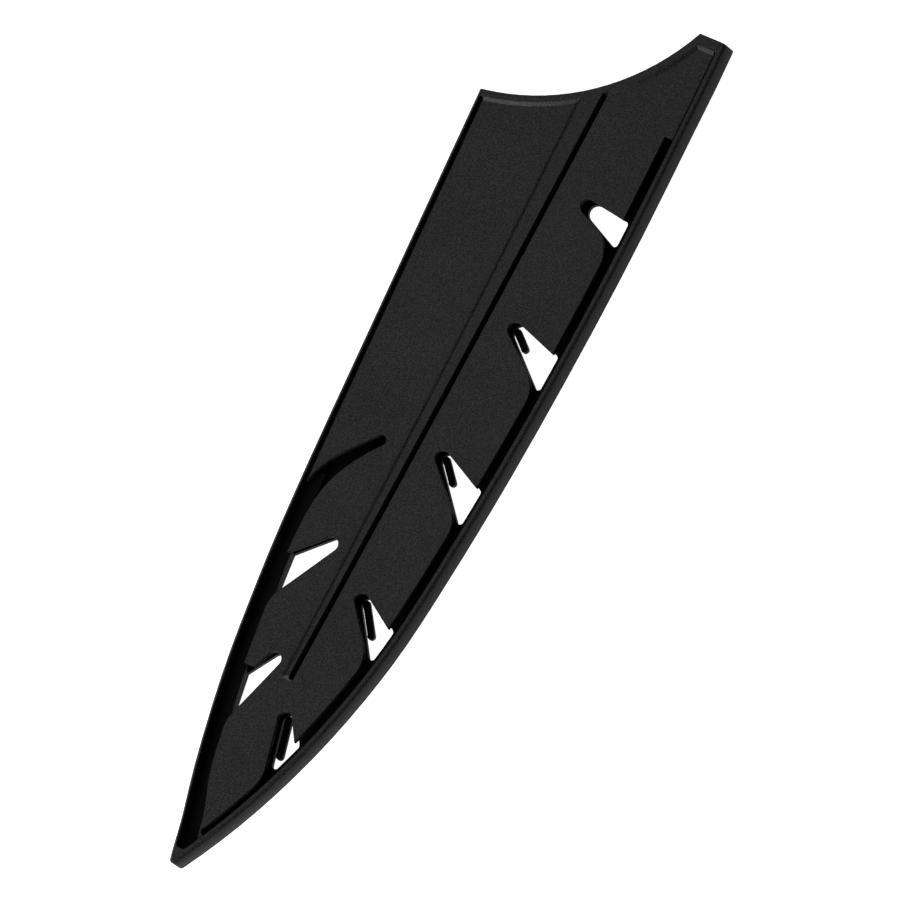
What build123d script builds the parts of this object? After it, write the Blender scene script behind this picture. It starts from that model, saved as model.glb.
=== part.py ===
from build123d import *
import os
from math import asin, degrees, sqrt

# Blade guard for a chef's knife: a flat moulded sheath, closed all round but for the curved mouth.
# The plan runs from the tip (x = 0) to the heel (x = guard_length) and from the lowest point of
# the belly (y = 0) up to the straight spine (y = guard_width). Shares are of those two sizes.
guard_length = 210
guard_width = 47.7

# Thicknesses, from the back face up
sheet_thickness = 1.3
blade_gap = 2.6
leaf_thickness = 1.3
rim_relief = 0.6
shelf_rise = 1.6

# Widths in from the outline
belly_rim = 1.3
edge_bevel = 0.5
belly_slot = 2.4
spine_rim = 0.7
spine_groove = 0.83
channel_width = 3.3
seat_width = 1.1
seam_clearance = 0.15
belly_seam = 0.45
band_seam = 0.05
mouth_band = 1.5
heel_band = 2.5
tip_slot = 1.6

# Rounds
tip_round = 0.9
corner_round = 0.8
heel_round = 0.6
mouth_lead_in = 0.5
nose_radius = 1.65
hole_nose_radius = 1.85
lobe_round = 7.5
hole_round = 0.8

# Rib slot and curved slot of the leaf, and the slope of the steps down to its panels
rib_slot = 1.0
hook_end_bulge = 0.7
step_slope = 55

# Fingers in the back windows
finger_width = 1.63
finger_thickness = 0.9
finger_bump = 0.6
finger_gap = 0.12
finger_slit = 0.44
bump_soften = 0.35

# Past every face that a cut goes through
overrun = 10
past_mouth_share = 1.1

# The outline: tip, spine, mouth and belly
tip_centre_shares = (0.0043, 0.779)
tip_belly_way_shares = (0.1, -0.29)
tip_spine_way_shares = (-0.1, -0.098)
spine_shares = ((0.48, 1), (0.3913, 0.9964), (0.3351, 0.9893), (0.2796, 0.9756), (0.2245, 0.9576),
                (0.1703, 0.9296), (0.1275, 0.901), (0.0852, 0.8668), (0.0434, 0.8274))
spine_corner_shares = (0.8605, 1)
mouth_middle_shares = (0.909, 0.4717)
heel_high_shares = (1, 0.1367)
heel_low_shares = (1, 0)
belly_shares = ((0.0437, 0.6502), (0.1285, 0.4659), (0.1821, 0.3753), (0.2341, 0.3035),
                (0.2969, 0.2367), (0.3577, 0.1931), (0.4773, 0.1256), (0.5952, 0.0768),
                (0.7121, 0.0403), (0.8276, 0.0179), (0.931, 0.0052))
tip_land_share = 0.0176
tip_seat_share = 0.0502
tip_lobe_share = 0.1438
groove_start_share = 0.432
heel_seat_share = 0.8881

# Places along an edge where its parallels are measured off
rail_shares = (0, 0.05, 0.12, 0.2, 0.3, 0.4, 0.55, 0.7, 0.85, 1)
bank_shares = (0.26, 0.4, 0.55, 0.7, 0.82)
tip_slot_shares = (0.0415, 0.08, 0.12, 0.17)

# The leaf's curved slot, which branches off the channel: its near side and its far side
hook_near_shares = ((0.3867, 0.9033), (0.4241, 0.8695), (0.4576, 0.7888), (0.4833, 0.6963))
hook_far_shares = ((0.4913, 0.7321), (0.4681, 0.8297), (0.4363, 0.9352), (0.4026, 0.9715))

# The channel's near side beside the tip, and where it turns down to the belly
tip_bank_shares = ((0.064, 0.747), (0.0425, 0.728))
tip_turn_shares = ((0.0333, 0.719), (0.026, 0.65))

# The raised rib: its spine side and its belly side, from the leaf's tip end to the mouth
rib_high_shares = ((0.2243, 0.6585), (0.6356, 0.5666), (0.9074, 0.527))
rib_low_shares = ((0.2241, 0.6418), (0.6406, 0.5151), (0.9144, 0.4429))

# Windows of the leaf: centre of the round nose, foot on the tip side, foot on the heel side
belly_window_shares = (
    ((0.7905, 0.287), (0.7592, 0.0762), (0.7907, 0.0741)),
    ((0.6442, 0.3569), (0.5918, 0.1221), (0.6338, 0.1158)),
    ((0.4932, 0.416), (0.4301, 0.1922), (0.4742, 0.1701)),
    ((0.3254, 0.4807), (0.264, 0.312), (0.3045, 0.2745)),
    ((0.1817, 0.5771), (0.1104, 0.5489), (0.1547, 0.4634)),
)
spine_window_shares = (
    ((0.3667, 0.7306), (0.2826, 0.918), (0.3365, 0.933)),
    ((0.2349, 0.7474), (0.15, 0.849), (0.2195, 0.819)),
)
lobe_cut_shares = ((0.15, 0.849), (0.2195, 0.819), (0.2195, 0.9))

# The holes of the back sheet behind the windows, in the same order
belly_hole_shares = (
    ((0.7892, 0.2651), (0.758, 0.0699), (0.7914, 0.0553)),
    ((0.6444, 0.3496), (0.5879, 0.1284), (0.6335, 0.0929)),
    ((0.4937, 0.4039), (0.4237, 0.192), (0.4709, 0.1492)),
    ((0.3244, 0.4634), (0.2607, 0.3193), (0.3031, 0.264)),
    ((0.1817, 0.574), (0.1104, 0.5489), (0.1509, 0.4613)),
)
spine_hole_shares = (
    ((0.368, 0.7306), (0.2826, 0.918), (0.3375, 0.933)),
    ((0.2349, 0.7474), (0.15, 0.849), (0.204, 0.891)),
)

# How far each finger reaches from the nose of its hole towards the hole's foot
finger_reach_shares = (0.276, 0.348, 0.588, 0.79)

# Levels and insets that follow from the sizes above
shelf_level = sheet_thickness + shelf_rise
seat_level = sheet_thickness + blade_gap
panel_level = seat_level + leaf_thickness
rim_level = panel_level + rim_relief
lobe_inset = belly_rim + belly_slot
leaf_inset = spine_rim + spine_groove
channel_inset = spine_rim + channel_width
spine_seat_inset = leaf_inset + seat_width
heel_seat_inset = belly_rim + belly_seam + seat_width


def spot(shares):
    return Vector(guard_length * shares[0], guard_width * shares[1])


def parallel(edge, inset, shares=rail_shares):
    # Points at a steady distance to the left of an edge
    return [edge @ share + (edge % share).rotate(Axis.Z, 90) * inset for share in shares]


# The edges of the outline, drawn anticlockwise
with BuildLine() as edges_of_guard:
    tip_centre = spot(tip_centre_shares)
    belly_way = spot(tip_belly_way_shares).normalized()
    spine_way = spot(tip_spine_way_shares).normalized()
    tip_low = tip_centre + belly_way.rotate(Axis.Z, -90) * tip_round
    tip_high = tip_centre + spine_way.rotate(Axis.Z, -90) * tip_round
    belly = Spline(tip_low, *[spot(s) for s in belly_shares], spot(heel_low_shares),
                   tangents=(belly_way, Vector(1, 0)))
    heel = Line(belly @ 1, spot(heel_high_shares))
    mouth = ThreePointArc(heel @ 1, spot(mouth_middle_shares), spot(spine_corner_shares))
    back = Line(mouth @ 1, spot(spine_shares[0]))
    spine = Spline(*[spot(s) for s in spine_shares], tip_high, tangents=(back % 1, spine_way))
    tip = ThreePointArc(spine @ 1, tip_centre - Vector(tip_round, 0), belly @ 0)

with BuildSketch() as outline:
    add(edges_of_guard.line)
    make_face()

middle = outline.sketch.bounding_box().center()


def level(height):
    # The plane at a height, placed so that the footprint's middle is the origin
    return Plane(origin=(-middle.X, -middle.Y, height))


def above_belly(inset):
    # Everything on the spine's side of a parallel of the belly
    with BuildSketch(mode=Mode.PRIVATE) as area:
        with BuildLine():
            rail = Spline(*parallel(belly, inset))
            Polyline(rail @ 1, (guard_length + overrun, (rail @ 1).Y),
                     (guard_length + overrun, guard_width + overrun),
                     (-overrun, guard_width + overrun), (-overrun, (rail @ 0).Y), rail @ 0)
        make_face()
    return area.sketch


def below_spine(inset):
    # Everything on the belly's side of a parallel of the spine
    with BuildSketch(mode=Mode.PRIVATE) as area:
        with BuildLine():
            rail = Spline(*parallel(spine, inset))
            Polyline(rail @ 1, (-overrun, (rail @ 1).Y), (-overrun, -overrun),
                     (guard_length + overrun, -overrun), (guard_length + overrun, (rail @ 0).Y),
                     rail @ 0)
        make_face()
    return area.sketch


def strip(first_share, last_share):
    # Everything between two places along the guard
    with BuildSketch(mode=Mode.PRIVATE) as area:
        with Locations((guard_length * first_share, -overrun)):
            Rectangle(guard_length * (last_share - first_share), guard_width + 2 * overrun,
                      align=Align.MIN)
    return area.sketch


def behind_mouth(arc_inset, heel_inset):
    # Everything on the tip's side of a parallel of the mouth
    with BuildSketch(mode=Mode.PRIVATE) as area:
        with BuildLine():
            rail = ThreePointArc(*parallel(mouth, arc_inset, (0, 0.5, 1)))
            Polyline(rail @ 1, ((rail @ 1).X, guard_width + overrun),
                     (-overrun, guard_width + overrun), (-overrun, -overrun),
                     ((rail @ 0).X, -overrun), rail @ 0)
        make_face()
        add(strip(-1, 1 - heel_inset / guard_length), mode=Mode.INTERSECT)
    return area.sketch


def window(shares, radius=nose_radius):
    # A wedge with a round nose whose foot lies past the edge that it opens to
    nose, tip_foot, heel_foot = [spot(s) for s in shares]
    with BuildSketch(mode=Mode.PRIVATE) as area:
        with BuildLine(mode=Mode.PRIVATE) as frame:
            CenterArc(nose, radius, 0, 360)
            Line(tip_foot, heel_foot)
        make_hull(frame.edges())
    return area.sketch


def channel_sweep():
    # The channel beside the lower spine and the slot that hooks off it into the leaf
    with BuildSketch(mode=Mode.PRIVATE) as area:
        with BuildLine():
            bank = [spot(s) for s in reversed(hook_near_shares)]
            near = Spline(*bank, *parallel(spine, channel_inset, bank_shares),
                          *[spot(s) for s in tip_bank_shares])
            far = Spline(*[spot(s) for s in reversed(hook_far_shares)])
            SagittaArc(far @ 1, near @ 0, hook_end_bulge)
            Polyline(near @ 1, *[spot(s) for s in tip_turn_shares], (-overrun, 0),
                     (-overrun, guard_width + overrun), ((far @ 0).X, guard_width + overrun), far @ 0)
        make_face()
    return area.sketch


def tip_slot_plan():
    # The leaf's narrow slot beside the belly, from the tip to the first lobe
    with BuildSketch(mode=Mode.PRIVATE) as area:
        with BuildLine():
            outer = Spline(*parallel(belly, belly_rim, tip_slot_shares))
            inner = Spline(*parallel(belly, belly_rim + tip_slot, tip_slot_shares))
            SagittaArc(outer @ 0, inner @ 0, tip_slot / 2)
            Line(outer @ 1, inner @ 1)
        make_face()
    return area.sketch


def rib_plan():
    with BuildSketch(mode=Mode.PRIVATE) as area:
        with BuildLine():
            high = ThreePointArc(*[spot(s) for s in rib_high_shares])
            low = ThreePointArc(*[spot(s) for s in rib_low_shares])
            Line(high @ 0, low @ 0)
            Line(high @ 1, low @ 1)
        make_face()
    return area.sketch


def rib_slot_plan():
    with BuildSketch(mode=Mode.PRIVATE) as area:
        with BuildLine():
            low = ThreePointArc(*[spot(s) for s in rib_low_shares])
            far = ThreePointArc(*parallel(low, -rib_slot, (0, 0.5, 1)))
            SagittaArc(far @ 0, low @ 0, rib_slot / 2)
            Line(far @ 1, low @ 1)
        make_face()
        add(behind_mouth(mouth_band, heel_band), mode=Mode.INTERSECT)
    return area.sketch


def inside(belly_inset, spine_inset, first_share, last_share):
    # The area between parallels of the belly and the spine, from one place to another
    with BuildSketch(mode=Mode.PRIVATE) as area:
        add(above_belly(belly_inset))
        add(below_spine(spine_inset), mode=Mode.INTERSECT)
        add(strip(first_share, last_share), mode=Mode.INTERSECT)
    return area.sketch


def pocket(first_share, spine_inset):
    # The space for the blade: wide beside the spine's seat, and clear of the heel's seat
    with BuildSketch(mode=Mode.PRIVATE) as area:
        add(inside(belly_rim, spine_inset, first_share, groove_start_share))
        add(inside(belly_rim, spine_seat_inset, groove_start_share, heel_seat_share))
        add(inside(heel_seat_inset, spine_seat_inset, heel_seat_share, past_mouth_share))
    return area.sketch


def mouth_zone():
    # The band along the mouth, which fits closely between the rims
    with BuildSketch(mode=Mode.PRIVATE) as area:
        add(inside(belly_rim + band_seam, spine_rim + band_seam, 0, past_mouth_share))
        add(behind_mouth(mouth_band, heel_band), mode=Mode.SUBTRACT)
    return area.sketch


def rim_opening():
    # The opening that the rim frames, with a round end beside the tip
    with BuildSketch(mode=Mode.PRIVATE) as area:
        add(inside(belly_rim, spine_rim, tip_land_share, past_mouth_share))
        fillet(area.vertices().group_by(Axis.X)[0], radius=corner_round)
    return area.sketch


def corner_near(part, shares, height):
    # The upright edge nearest to a spot of the plan
    place = level(height).from_local_coords(spot(shares))
    return part.edges().filter_by(Axis.Z).sort_by_distance(place)[0]


def top_edge_near(part, place_in_plan, height):
    # The flat edge at a height that lies nearest to a place in the plan
    place = level(height).from_local_coords(place_in_plan)
    return part.edges().filter_by_position(Axis.Z, height, height).sort_by_distance(place)[0]


# Back tray: the back sheet, the wall that follows the outline and the seats of the leaf
with BuildPart() as back_tray:
    with BuildSketch(level(0)):
        add(outline.sketch)
        with BuildSketch(mode=Mode.PRIVATE) as holes:
            for shares in belly_hole_shares + spine_hole_shares:
                add(window(shares, hole_nose_radius))
            add(above_belly(lobe_inset), mode=Mode.INTERSECT)
            add(below_spine(channel_inset), mode=Mode.INTERSECT)
        add(holes.sketch, mode=Mode.SUBTRACT)
    extrude(amount=sheet_thickness)
    for shares in belly_hole_shares:
        for foot in shares[1:]:
            fillet(corner_near(back_tray, foot, 0), radius=hole_round)
    with BuildSketch(level(sheet_thickness)):
        add(outline.sketch)
        add(pocket(tip_seat_share, channel_inset), mode=Mode.SUBTRACT)
    extrude(amount=shelf_rise)
    with BuildSketch(level(shelf_level)):
        add(outline.sketch)
        add(pocket(tip_seat_share, spine_rim), mode=Mode.SUBTRACT)
        with BuildSketch(mode=Mode.PRIVATE) as channel_end:
            add(rim_opening())
            add(strip(0, tip_seat_share), mode=Mode.INTERSECT)
            add(channel_sweep(), mode=Mode.INTERSECT)
        add(channel_end.sketch, mode=Mode.SUBTRACT)
    extrude(amount=seat_level - shelf_level)
    with BuildSketch(level(seat_level)):
        add(outline.sketch)
        add(rim_opening(), mode=Mode.SUBTRACT)
    extrude(amount=rim_level - seat_level)
    fillet(corner_near(back_tray, heel_low_shares, rim_level), radius=heel_round)
    outer_edges = [top_edge_near(back_tray, edge @ 0.5, rim_level) for edge in (belly, tip, spine, back)]
    chamfer(outer_edges, length=edge_bevel)
    chamfer(top_edge_near(back_tray, mouth @ 0.5, sheet_thickness), length=mouth_lead_in)
back_tray.part.label = "back_tray"

# Front leaf: panels, lobes and windows, with the raised rib and mouth band
with BuildPart() as front_leaf:
    with BuildSketch(level(seat_level)) as leaf_plan:
        add(outline.sketch)
        with BuildSketch(mode=Mode.PRIVATE) as belly_side:
            add(above_belly(lobe_inset))
            add(inside(belly_rim + belly_seam, 0, heel_seat_share, past_mouth_share))
            add(inside(belly_rim + seam_clearance, 0, 0, tip_lobe_share))
            add(tip_slot_plan(), mode=Mode.SUBTRACT)
            add(mouth_zone())
        add(belly_side.sketch, mode=Mode.INTERSECT)
        with BuildSketch(mode=Mode.PRIVATE) as spine_side:
            add(below_spine(leaf_inset))
            add(mouth_zone())
        add(spine_side.sketch, mode=Mode.INTERSECT)
        add(channel_sweep(), mode=Mode.SUBTRACT)
        for shares in belly_window_shares + spine_window_shares:
            add(window(shares), mode=Mode.SUBTRACT)
        with BuildLine():
            Polyline(*[spot(s) for s in lobe_cut_shares], close=True)
        make_face(mode=Mode.SUBTRACT)
        add(rib_slot_plan(), mode=Mode.SUBTRACT)
    extrude(amount=leaf_thickness + rim_relief)
    for shares in belly_window_shares + spine_window_shares:
        fillet(corner_near(front_leaf, shares[1], seat_level), radius=lobe_round)
    with BuildSketch(level(rim_level)):
        add(behind_mouth(mouth_band, heel_band))
        add(rib_plan(), mode=Mode.SUBTRACT)
    extrude(amount=-rim_relief, taper=step_slope, mode=Mode.SUBTRACT)
    chamfer(top_edge_near(front_leaf, mouth @ 0.5, seat_level), length=mouth_lead_in)
front_leaf.part.label = "front_leaf"


def finger(shares, reach_share, number):
    # A cantilever that lies along a hole's edge, with a bump for the blade at its free end
    nose, tip_foot, heel_foot = [spot(s) for s in shares]
    way = tip_foot - nose
    heading = way.normalized().rotate(Axis.Z, degrees(asin(hole_nose_radius / way.length)))
    side = heading.rotate(Axis.Z, -90)
    with BuildLine(mode=Mode.PRIVATE):
        foot_rail = Spline(*parallel(belly, lobe_inset))
    feet = foot_rail.find_intersection_points(Axis(nose, heading))
    reach = min((foot - nose).length for foot in feet) * reach_share
    # The round root stands a gap away from the round nose, and the bar a slit from the hole's side
    room = hole_nose_radius - finger_width / 2
    lift = room - finger_slit
    root = nose + side * lift - heading * sqrt((room - finger_gap) ** 2 - lift ** 2)
    free_end = nose + side * lift + heading * reach
    underside = sheet_thickness - finger_thickness
    with BuildPart() as bar:
        with BuildSketch(level(underside)):
            with BuildLine(mode=Mode.PRIVATE) as ends:
                CenterArc(root, finger_width / 2, 0, 360)
                CenterArc(free_end, finger_width / 2, 0, 360)
            make_hull(ends.edges())
        extrude(amount=finger_thickness)
        with BuildSketch(level(sheet_thickness)):
            with Locations(free_end):
                Circle(finger_width / 2)
        extrude(amount=finger_bump)
        fillet(bar.edges().group_by(Axis.Z)[-1], radius=bump_soften)
    bar.part.label = f"retention_finger_{number}"
    hinge = level(underside + finger_thickness / 2).from_local_coords(root)
    print(bar.part.label, "hinge at", hinge, "axis", side, "length", (free_end - root).length)
    return bar


fingers = [finger(shares, reach_share, number + 1) for number, (shares, reach_share)
           in enumerate(zip(belly_hole_shares[1:], finger_reach_shares))]

os.makedirs("parts", exist_ok=True)
for piece in [back_tray, front_leaf] + fingers:
    export_step(piece.part, f"parts/{piece.part.label}.step")
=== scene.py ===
# Knife blade guard of black moulded plastic, lying on a plain pale floor
import math

import bpy
from mathutils import Matrix, Vector

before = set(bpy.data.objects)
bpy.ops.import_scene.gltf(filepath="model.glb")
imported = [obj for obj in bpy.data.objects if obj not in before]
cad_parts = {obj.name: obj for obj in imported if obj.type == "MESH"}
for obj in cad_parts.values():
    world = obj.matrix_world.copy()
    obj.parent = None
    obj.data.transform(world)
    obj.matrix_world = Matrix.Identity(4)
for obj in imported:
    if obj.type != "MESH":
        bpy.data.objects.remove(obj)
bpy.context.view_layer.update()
print("frame loaded:", sorted(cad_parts))


def standAround(name, data, values, aim, distance, roll=0.0):
    # Stands a camera or a lamp round the guard and turns it to its aim; the angles are in degrees
    holder = bpy.data.objects.new(name, data)
    bpy.context.scene.collection.objects.link(holder)
    azimuth = math.radians(values["azimuth"])
    elevation = math.radians(values["elevation"])
    toward = Vector((math.cos(elevation) * math.cos(azimuth),
                     math.cos(elevation) * math.sin(azimuth),
                     math.sin(elevation)))
    turn = toward.to_track_quat("Z", "Y").to_matrix().to_4x4()
    spin = Matrix.Rotation(math.radians(roll), 4, "Z")
    holder.matrix_world = Matrix.Translation(aim + toward * distance) @ turn @ spin
    return holder


view = {
    "azimuth": -102.99,
    "elevation": 68.0,
    "roll": -53.13,
    "aim": (0.00053, -0.00579, 0.0058),   # the point at the picture's middle
    "metresAcross": 0.19493,              # width of the picture at that point
    "lens": 1000.0,
    "sensor": 36.0,
    "clipEnd": 50,
}


def makeCamera():
    camera = bpy.data.cameras.new("camera")
    camera.sensor_width = view["sensor"]
    camera.lens = view["lens"]
    camera.clip_end = view["clipEnd"]
    distance = view["metresAcross"] * view["lens"] / view["sensor"]
    bpy.context.scene.camera = standAround("camera", camera, view, Vector(view["aim"]), distance,
                                           view["roll"])


# The lamps look at the origin; distances and sizes are in metres
lamps = {
    "overhead": {"azimuth": 77, "elevation": 68, "distance": 1.2,
                 "width": 0.9, "height": 0.9, "power": 5.6},
    "tipSide": {"azimuth": 170, "elevation": 27, "distance": 1.6,
                "width": 0.8, "height": 0.5, "power": 29.0},
    "frontFill": {"azimuth": 250, "elevation": 34, "distance": 1.1,
                  "width": 0.8, "height": 0.6, "power": 0.25},
}


def makeLamp(name):
    values = lamps[name]
    lamp = bpy.data.lights.new(name, "AREA")
    lamp.shape = "RECTANGLE"
    lamp.energy = values["power"]
    lamp.size = values["width"]
    lamp.size_y = values["height"]
    standAround(name, lamp, values, Vector((0, 0, 0)), values["distance"])


# The room lights the guard a little and is white to the camera
room = {"colour": (1, 1, 1, 1), "litLevel": 0.06, "seenLevel": 1.0}


def makeWorld():
    world = bpy.data.worlds.new("studio")
    bpy.context.scene.world = world
    world.use_nodes = True
    nodes, links = world.node_tree.nodes, world.node_tree.links
    nodes.clear()
    out = nodes.new("ShaderNodeOutputWorld")
    mix = nodes.new("ShaderNodeMixShader")
    path = nodes.new("ShaderNodeLightPath")
    links.new(path.outputs["Is Camera Ray"], mix.inputs["Fac"])
    for place, level in ((1, room["litLevel"]), (2, room["seenLevel"])):
        light = nodes.new("ShaderNodeBackground")
        light.inputs["Color"].default_value = room["colour"]
        light.inputs["Strength"].default_value = level
        links.new(light.outputs[0], mix.inputs[place])
    links.new(mix.outputs[0], out.inputs["Surface"])


def mathNode(nodes, links, operation, first, second=None, clamp=False):
    # Each value is a number or another node's output
    node = nodes.new("ShaderNodeMath")
    node.operation = operation
    node.use_clamp = clamp
    for place, value in enumerate((first, second)):
        if value is None:
            continue
        if isinstance(value, (int, float)):
            node.inputs[place].default_value = value
        else:
            links.new(value, node.inputs[place])
    return node.outputs[0]


def vectorNode(nodes, links, operation, first, second=None):
    node = nodes.new("ShaderNodeVectorMath")
    node.operation = operation
    links.new(first, node.inputs[0])
    if second is not None:
        links.new(second, node.inputs[1])
    return node.outputs["Value" if operation == "DOT_PRODUCT" else "Vector"]


def mapRange(nodes, links, value, fromEnds, toEnds=(0.0, 1.0)):
    node = nodes.new("ShaderNodeMapRange")
    node.interpolation_type = "SMOOTHSTEP"
    labels = ("From Min", "From Max", "To Min", "To Max")
    for label, end in zip(labels, (*fromEnds, *toEnds)):
        node.inputs[label].default_value = end
    links.new(value, node.inputs["Value"])
    return node.outputs["Result"]


def mixNode(nodes, links, kind, factor, first, second):
    # Mixes two colours or two vectors, each another node's output; a colour can also be fixed
    node = nodes.new("ShaderNodeMix")
    node.data_type = kind
    links.new(factor, node.inputs["Factor"])
    for label, value in (("A", first), ("B", second)):
        socket = [s for s in node.inputs if s.name == label and s.type == kind][0]
        if isinstance(value, tuple):
            socket.default_value = (*value, 1)
        else:
            links.new(value, socket)
    return [s for s in node.outputs if s.type == kind][0]


def upPart(nodes, links, vector):
    # How far a place or a normal reaches up from the back face
    parts = nodes.new("ShaderNodeSeparateXYZ")
    links.new(vector, parts.inputs["Vector"])
    return parts.outputs["Z"]


def newGroup(name, outputs):
    group = bpy.data.node_groups.new(name, "ShaderNodeTree")
    for label, kind in outputs.items():
        group.interface.new_socket(name=label, in_out="OUTPUT", socket_type=kind)
    return group, group.nodes, group.links, group.nodes.new("NodeGroupOutput")


def useGroup(nodes, group):
    node = nodes.new("ShaderNodeGroup")
    node.node_tree = group
    return node


# The floor is white to the camera, and lit from within for what the plastic mirrors
floorLook = {"size": 6.0, "colour": (0.8, 0.8, 0.8, 1), "seenGlow": 0.95, "mirroredGlow": 0.30}


def makeFloor():
    bpy.ops.mesh.primitive_plane_add(size=floorLook["size"], location=(0, 0, 0))
    floor = bpy.context.object
    floor.name = "floor"
    paint = bpy.data.materials.new("paleFloor")
    paint.use_nodes = True
    nodes, links = paint.node_tree.nodes, paint.node_tree.links
    nodes.clear()
    out = nodes.new("ShaderNodeOutputMaterial")
    both = nodes.new("ShaderNodeAddShader")
    matte = nodes.new("ShaderNodeBsdfDiffuse")
    matte.inputs["Color"].default_value = floorLook["colour"]
    glow = nodes.new("ShaderNodeEmission")
    path = nodes.new("ShaderNodeLightPath")
    seen = mathNode(nodes, links, "MULTIPLY", path.outputs["Is Camera Ray"], floorLook["seenGlow"])
    mirrored = mathNode(nodes, links, "MULTIPLY", path.outputs["Is Glossy Ray"],
                        floorLook["mirroredGlow"])
    links.new(mathNode(nodes, links, "ADD", mirrored, seen), glow.inputs["Strength"])
    links.new(matte.outputs[0], both.inputs[0])
    links.new(glow.outputs[0], both.inputs[1])
    links.new(both.outputs[0], out.inputs["Surface"])
    floor.data.materials.append(paint)


grainLook = {
    "turn": (0.6, 0.8, 0.4),   # radians
    "scales": {"Grain": 3900.0, "Cloud": 70.0},
    "detail": 3.0,
}


def makeGrainGroup():
    # Fine moulded grain and broad clouding of the plastic, as values round a half. The pattern is
    # turned out of line with the flat faces, so that the grain is as strong on each of them.
    group, nodes, links, out = newGroup("mouldGrain", {"Grain": "NodeSocketFloat",
                                                       "Cloud": "NodeSocketFloat"})
    where = nodes.new("ShaderNodeTexCoord")
    turned = nodes.new("ShaderNodeMapping")
    turned.inputs["Rotation"].default_value = grainLook["turn"]
    links.new(where.outputs["Object"], turned.inputs["Vector"])
    for label, scale in grainLook["scales"].items():
        noise = nodes.new("ShaderNodeTexNoise")
        noise.inputs["Scale"].default_value = scale
        noise.inputs["Detail"].default_value = grainLook["detail"]
        links.new(turned.outputs["Vector"], noise.inputs["Vector"])
        links.new(noise.outputs["Fac"], out.inputs[label])
    return group


# Painted shade on the floors of hollows and next to walls. Lengths, and heights above the back
# face, are in metres
hollowShadeLook = {
    "deepToOpen": (0.0042, 0.0050),   # between a hollow's floor and a face in the open
    "deepShade": 0.04,
    "sideToFloor": (0.6, 0.9),        # how far up a face looks before it counts as a floor
    "contactReach": 0.0012,
    "contactEnds": (0.55, 0.97),
    "samples": 8,
}


def makeHollowShadeGroup():
    # Painted shade mask: 1 where a face lies in the open, down to a low value on the floors of
    # slots and hollows and on floors close to a wall
    group, nodes, links, out = newGroup("hollowShade", {"Open": "NodeSocketFloat"})
    where = nodes.new("ShaderNodeTexCoord")
    shape = nodes.new("ShaderNodeNewGeometry")
    height = upPart(nodes, links, where.outputs["Object"])
    facing = upPart(nodes, links, shape.outputs["True Normal"])
    isFloor = mapRange(nodes, links, facing, hollowShadeLook["sideToFloor"])
    shade = mapRange(nodes, links, height, hollowShadeLook["deepToOpen"], (hollowShadeLook["deepShade"], 1.0))
    near = nodes.new("ShaderNodeAmbientOcclusion")
    near.samples = hollowShadeLook["samples"]
    near.inputs["Distance"].default_value = hollowShadeLook["contactReach"]
    contact = mapRange(nodes, links, near.outputs["AO"], hollowShadeLook["contactEnds"])
    lit = mathNode(nodes, links, "MULTIPLY", shade, contact)
    lost = mathNode(nodes, links, "SUBTRACT", 1.0, lit)
    floorLost = mathNode(nodes, links, "MULTIPLY", lost, isFloor)
    links.new(mathNode(nodes, links, "SUBTRACT", 1.0, floorLost, clamp=True), out.inputs["Open"])
    return group


# Lengths, and heights above the back face, are in metres
edgeLook = {
    "radius": 0.0002,
    "samples": 6,
    "sharpToSoft": (0.0030, 0.0042),   # the edges of the back sheet stay sharp
    "wallFootToTop": (0.0008, 0.0053),
    "wallLean": 0.36,                  # how far the wall is drawn in at its top
    "wallToFloor": (0.1, 0.4),         # how far a face looks up or down before it is no wall
    "bendToMask": (0.99, 0.80),
}


def makeEdgeGroup():
    # The normal of softened edges and of side walls that are drawn in towards their tops, and a
    # mask of the edges
    group, nodes, links, out = newGroup("softEdge", {"Normal": "NodeSocketVector",
                                                     "Edge": "NodeSocketFloat"})
    bevel = nodes.new("ShaderNodeBevel")
    bevel.samples = edgeLook["samples"]
    bevel.inputs["Radius"].default_value = edgeLook["radius"]
    rounded = bevel.outputs["Normal"]
    where = nodes.new("ShaderNodeTexCoord")
    plain = nodes.new("ShaderNodeNewGeometry").outputs["True Normal"]
    height = upPart(nodes, links, where.outputs["Object"])
    facing = upPart(nodes, links, plain)
    soft = mapRange(nodes, links, height, edgeLook["sharpToSoft"])
    eased = mixNode(nodes, links, "VECTOR", soft, plain, rounded)
    wall = mapRange(nodes, links, mathNode(nodes, links, "ABSOLUTE", facing),
                    edgeLook["wallToFloor"], (1.0, 0.0))
    lean = mapRange(nodes, links, height, edgeLook["wallFootToTop"], (0.0, edgeLook["wallLean"]))
    upward = nodes.new("ShaderNodeCombineXYZ")
    links.new(mathNode(nodes, links, "MULTIPLY", wall, lean), upward.inputs["Z"])
    drawn = vectorNode(nodes, links, "ADD", eased, upward.outputs["Vector"])
    links.new(vectorNode(nodes, links, "NORMALIZE", drawn), out.inputs["Normal"])
    bend = vectorNode(nodes, links, "DOT_PRODUCT", rounded, plain)
    links.new(mapRange(nodes, links, bend, edgeLook["bendToMask"]), out.inputs["Edge"])
    return group


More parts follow.
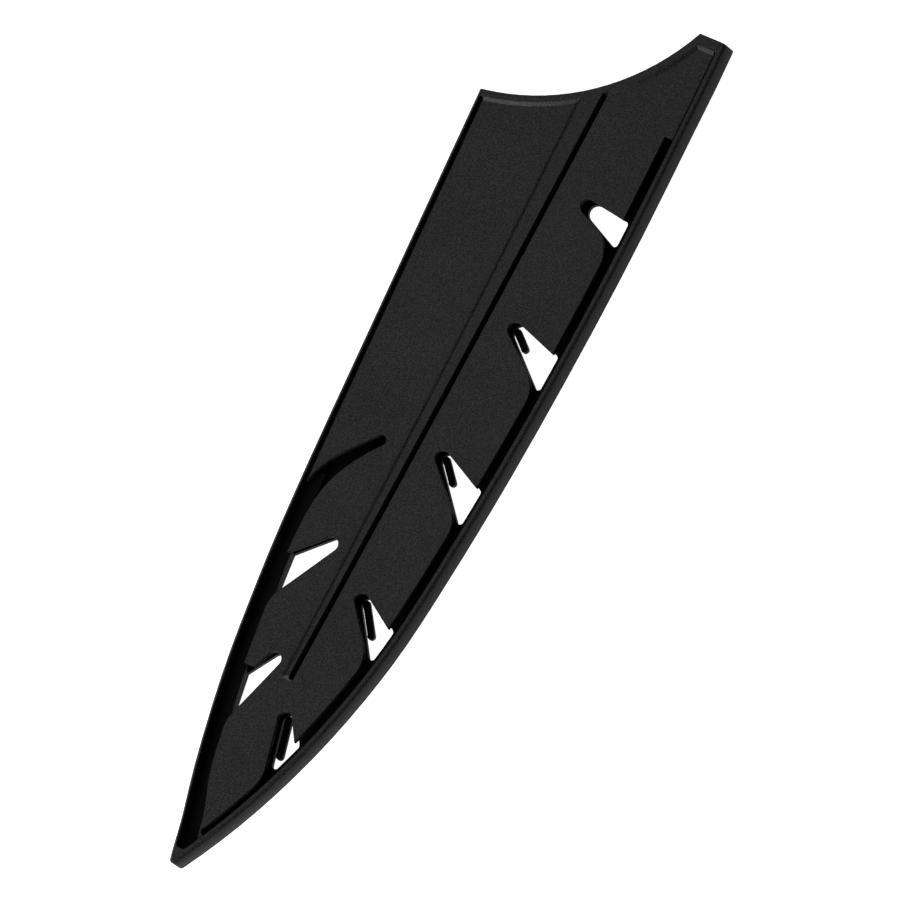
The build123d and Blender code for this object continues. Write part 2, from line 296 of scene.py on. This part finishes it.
plasticLook = {
    "colour": (0.0015, 0.0015, 0.0016),
    "speckle": (0.0185, 0.0185, 0.0189),
    "speckleEnds": (0.44, 0.56),      # the speckle sets in between these values of the grain
    "edgeHighlightAndWear": (0.013, 0.013, 0.0134),   # painted highlight and wear on the edges: lighter and even
    # painted shade: the colour of floors down in slots and hollows
    "paintedHollowShade": (0.002, 0.002, 0.002),
    "specularLevel": 0.14,
    "openTint": (1.0, 1.0, 1.0),
    # painted shade: dims the reflection on those floors
    "hollowShadeTint": (0.03, 0.03, 0.03),
    "cloudEnds": (0.3, 0.7),
    "roughness": (0.41, 0.45),        # varies between these with the clouding
    "edgeSmoother": -0.21,            # added to the roughness on the edges
    "grainDepth": 0.00006,            # metres
}


def makePlastic():
    plastic = bpy.data.materials.new("blackPlastic")
    plastic.use_nodes = True
    nodes, links = plastic.node_tree.nodes, plastic.node_tree.links
    shader = nodes["Principled BSDF"]
    shader.inputs["Specular IOR Level"].default_value = plasticLook["specularLevel"]
    grain = useGroup(nodes, makeGrainGroup())
    paintedHollowShade = useGroup(nodes, makeHollowShadeGroup())
    edge = useGroup(nodes, makeEdgeGroup())
    isOpen, isEdge = paintedHollowShade.outputs["Open"], edge.outputs["Edge"]
    speck = mapRange(nodes, links, grain.outputs["Grain"], plasticLook["speckleEnds"])
    colour = mixNode(nodes, links, "RGBA", speck, plasticLook["colour"], plasticLook["speckle"])
    # Painted highlight and wear: every edge takes a lighter, even colour
    colour = mixNode(nodes, links, "RGBA", isEdge, colour, plasticLook["edgeHighlightAndWear"])
    # Painted shade: the colour goes nearly black on floors down in slots and hollows and on floors
    # next to walls
    colour = mixNode(nodes, links, "RGBA", isOpen, plasticLook["paintedHollowShade"], colour)
    links.new(colour, shader.inputs["Base Color"])
    # Painted shade in the reflection too: the specular is dimmed on those same floors
    tint = mixNode(nodes, links, "RGBA", isOpen, plasticLook["hollowShadeTint"], plasticLook["openTint"])
    links.new(tint, shader.inputs["Specular Tint"])
    rough = mapRange(nodes, links, grain.outputs["Cloud"], plasticLook["cloudEnds"],
                     plasticLook["roughness"])
    smooth = mapRange(nodes, links, isEdge, (0.0, 1.0), (0.0, plasticLook["edgeSmoother"]))
    links.new(mathNode(nodes, links, "ADD", rough, smooth), shader.inputs["Roughness"])
    bump = nodes.new("ShaderNodeBump")
    bump.inputs["Distance"].default_value = plasticLook["grainDepth"]
    links.new(grain.outputs["Grain"], bump.inputs["Height"])
    links.new(edge.outputs["Normal"], bump.inputs["Normal"])
    links.new(bump.outputs["Normal"], shader.inputs["Normal"])
    return plastic


makeCamera()
makeWorld()
for name in lamps:
    makeLamp(name)
makeFloor()
print("camera, lamps, room and floor set")

plastic = makePlastic()
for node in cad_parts.values():
    node.data.materials.clear()
    node.data.materials.append(plastic)
print("materials set")

bpy.context.scene.view_settings.view_transform = "Standard"
